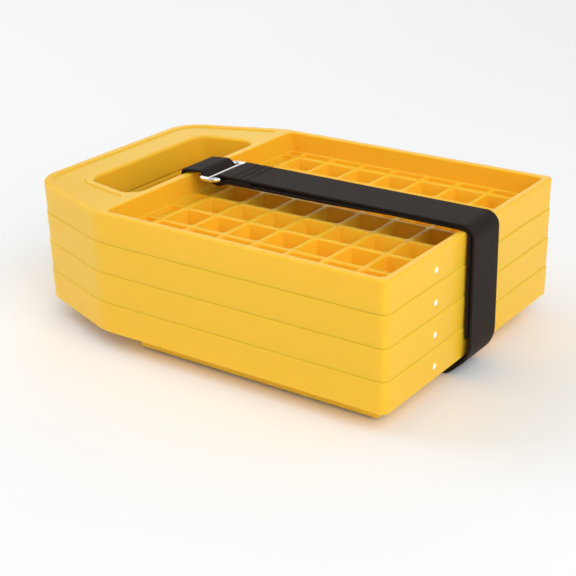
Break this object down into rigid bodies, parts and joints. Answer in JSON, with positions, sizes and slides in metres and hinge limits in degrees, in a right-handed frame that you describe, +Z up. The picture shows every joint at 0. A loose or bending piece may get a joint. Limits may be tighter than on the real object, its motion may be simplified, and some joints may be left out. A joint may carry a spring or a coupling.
{
  "type": "leveling block set",
  "caption": "Stack of nested waffle-top leveling pads with carrying handles, bound lengthwise by a webbing loop with a wire slide.",
  "frame": {"origin": "on the ground, under the middle of the bound stack", "axes": "+X from the carrying handles to the plain far ends, +Y across the pads, +Z up through the stack"},
  "size_m": [0.232, 0.165, 0.0788],
  "materials": {
    "pad_plastic": "fine moulded texture, satin",
    "webbing": "woven polypropylene webbing",
    "slide_wire": "bright plated wire"
  },
  "bodies": {
    "base_pad": {"pad_1": "pad_plastic"},
    "second_pad": {"pad_2": "pad_plastic"},
    "third_pad": {"pad_3": "pad_plastic"},
    "top_pad": {"pad_4": "pad_plastic"},
    "strap_base": {"webbing_base_run": "webbing"},
    "strap_top": {"webbing_handle_run": "webbing", "webbing_slide_pass": "webbing", "webbing_tail_run": "webbing", "webbing_tail_end": "webbing", "webbing_sewn_end": "webbing", "webbing_top_run": "webbing", "webbing_end_run": "webbing", "slide_ring": "slide_wire", "slide_bar": "slide_wire"}
  },
  "joints": [
    {"name": "second_pad_lift", "type": "slide", "parent": "base_pad", "child": "second_pad", "axis": [0, 0, 1], "range_m": [0, 0.012]},
    {"name": "third_pad_lift", "type": "slide", "parent": "second_pad", "child": "third_pad", "axis": [0, 0, 1], "range_m": [0, 0.012]},
    {"name": "top_pad_lift", "type": "slide", "parent": "third_pad", "child": "top_pad", "axis": [0, 0, 1], "range_m": [0, 0.012]},
    {"name": "strap_side_shift", "type": "slide", "parent": "base_pad", "child": "strap_base", "axis": [0, 1, 0], "range_m": [-0.03, 0.03]},
    {"name": "strap_slack", "type": "slide", "parent": "strap_base", "child": "strap_top", "axis": [0, 0, 1], "range_m": [0, 0.036]}
  ],
  "couplings": [
    {"joint": "third_pad_lift", "follows": "second_pad_lift", "ratio": 1},
    {"joint": "top_pad_lift", "follows": "second_pad_lift", "ratio": 1},
    {"joint": "strap_slack", "follows": "second_pad_lift", "ratio": 3}
  ]
}
